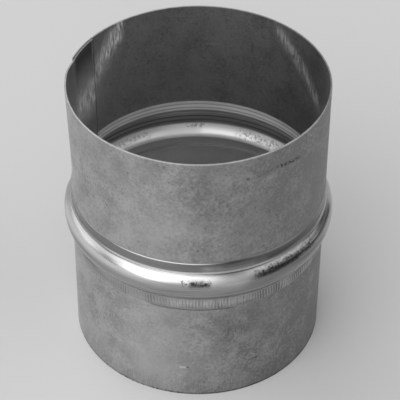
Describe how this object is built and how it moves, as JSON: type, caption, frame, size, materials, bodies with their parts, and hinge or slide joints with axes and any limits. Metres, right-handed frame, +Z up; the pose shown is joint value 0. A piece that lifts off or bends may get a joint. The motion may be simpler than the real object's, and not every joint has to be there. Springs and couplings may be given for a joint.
{
  "type": "pipe coupling sleeve",
  "caption": "Round sheet-steel sleeve with a rolled stop bead at mid-length and a lapped, welded seam; its spigots slide into the ends of round duct to join them.",
  "frame": {"origin": "centre of the lower rim, on the sleeve's axis", "axes": "+Z up along the sleeve's axis; the lap seam is at the far left, about 156 degrees from +X towards +Y"},
  "size_m": [0.1064, 0.1064, 0.118],
  "materials": {
    "zinc_coated_steel": "dull hot-dip zinc coating, burnished along the rolled bead"
  },
  "bodies": {
    "root": {"coupling_sleeve": "zinc_coated_steel"}
  },
  "joints": []
}
